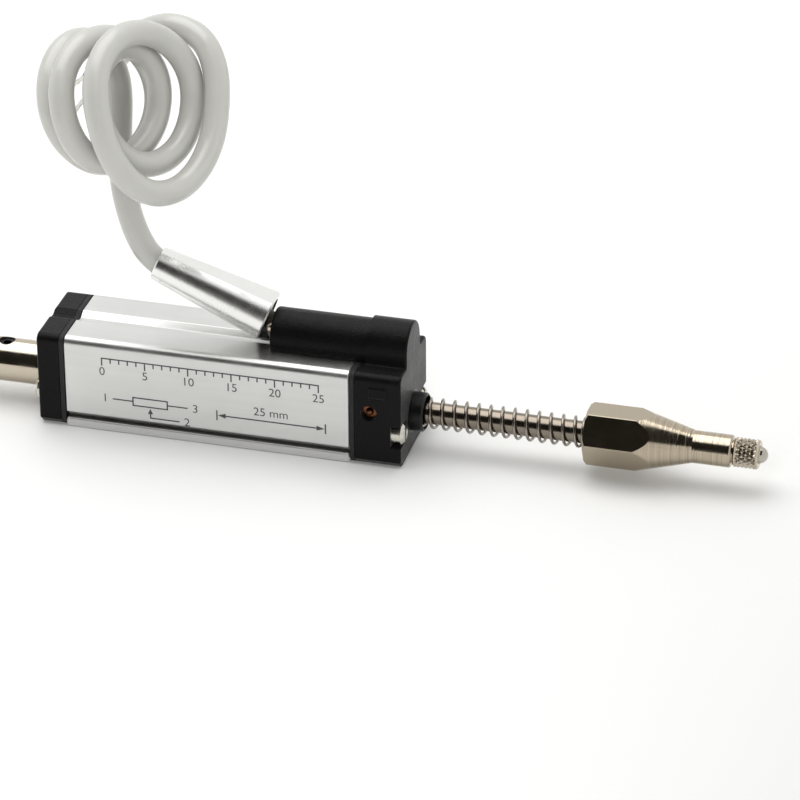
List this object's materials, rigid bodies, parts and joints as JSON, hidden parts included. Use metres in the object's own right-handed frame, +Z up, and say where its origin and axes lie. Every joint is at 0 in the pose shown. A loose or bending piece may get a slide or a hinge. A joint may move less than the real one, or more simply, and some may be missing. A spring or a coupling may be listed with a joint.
{
  "type": "spring-return linear potentiometer",
  "caption": "Linear position sensor: square extruded housing with black end caps, spring-loaded plunger rod with ball contact tip, angled plug and coiled grey cable.",
  "frame": {"origin": "centre of the housing profile's underside", "axes": "+X along the rod towards the contact ball, +Z up from the underside, +Y to the far side"},
  "size_m": [0.1478, 0.0429, 0.0781],
  "materials": {
    "anodised_aluminium": "clear anodised, fine lengthwise grain",
    "black_cap": "glass-filled moulding, fine matte grain",
    "gasket_rubber": "matte",
    "nickel_plate": "turned and bright nickel plated",
    "rod_steel": "ground",
    "spring_steel": "drawn stainless wire",
    "ball_steel": "polished",
    "zinc_screw": "bright zinc plated",
    "black_steel": "black oxide",
    "black_insert": "smooth moulded",
    "board_laminate": "laminate",
    "track_plastic": "conductive plastic film",
    "ribbon_grey": "flat lead",
    "copper_lug": "copper coloured, tinned highlight",
    "wiper_brass": "bright",
    "cable_sheath": "smooth light grey sheath",
    "core_sleeve": "insulated cores with bright ferrules"
  },
  "bodies": {
    "housing": {"housing_profile": "anodised_aluminium", "front_cap": "black_cap", "rear_cap": "black_cap", "front_gasket": "gasket_rubber", "rear_gasket": "gasket_rubber", "front_bush": "black_insert", "rear_bush": "black_insert", "front_cap_screws": "zinc_screw", "rear_cap_screws": "zinc_screw", "return_spring": "spring_steel", "resistor_board": "board_laminate", "resistor_track": "track_plastic", "collector_track": "track_plastic", "lead_ribbon": "ribbon_grey", "solder_lug": "copper_lug", "socket_hood": "black_cap", "socket_insert": "black_insert", "socket_contacts": "wiper_brass", "plug_shell": "nickel_plate", "plug_elbow": "black_insert", "plug_collar": "nickel_plate", "plug_insert": "black_insert", "plug_pins": "wiper_brass", "plug_grommet": "gasket_rubber", "cable_lead": "cable_sheath", "cable_coil": "cable_sheath", "cable_tail": "cable_sheath", "cable_cores": "core_sleeve"},
    "carriage": {"wiper_carrier": "black_insert", "wiper_fingers": "wiper_brass"},
    "rod": {"rod": "rod_steel", "carrier_clips": "spring_steel", "tip_holder": "nickel_plate", "contact_stem": "nickel_plate", "contact_ball": "ball_steel", "stop_sleeve": "nickel_plate", "sleeve_screw": "black_steel", "stop_washer": "gasket_rubber"}
  },
  "joints": [
    {"name": "plunger_slide", "type": "slide", "parent": "housing", "child": "carriage", "axis": [-1, 0, 0], "range_m": [0, 0.025], "stiffness_N_per_m": 80, "springref_m": -0.025, "deforming": ["return_spring"]},
    {"name": "rod_turn", "type": "hinge", "parent": "carriage", "child": "rod", "pos_m": [0, 0, 0.0071], "axis": [1, 0, 0], "continuous": true}
  ]
}
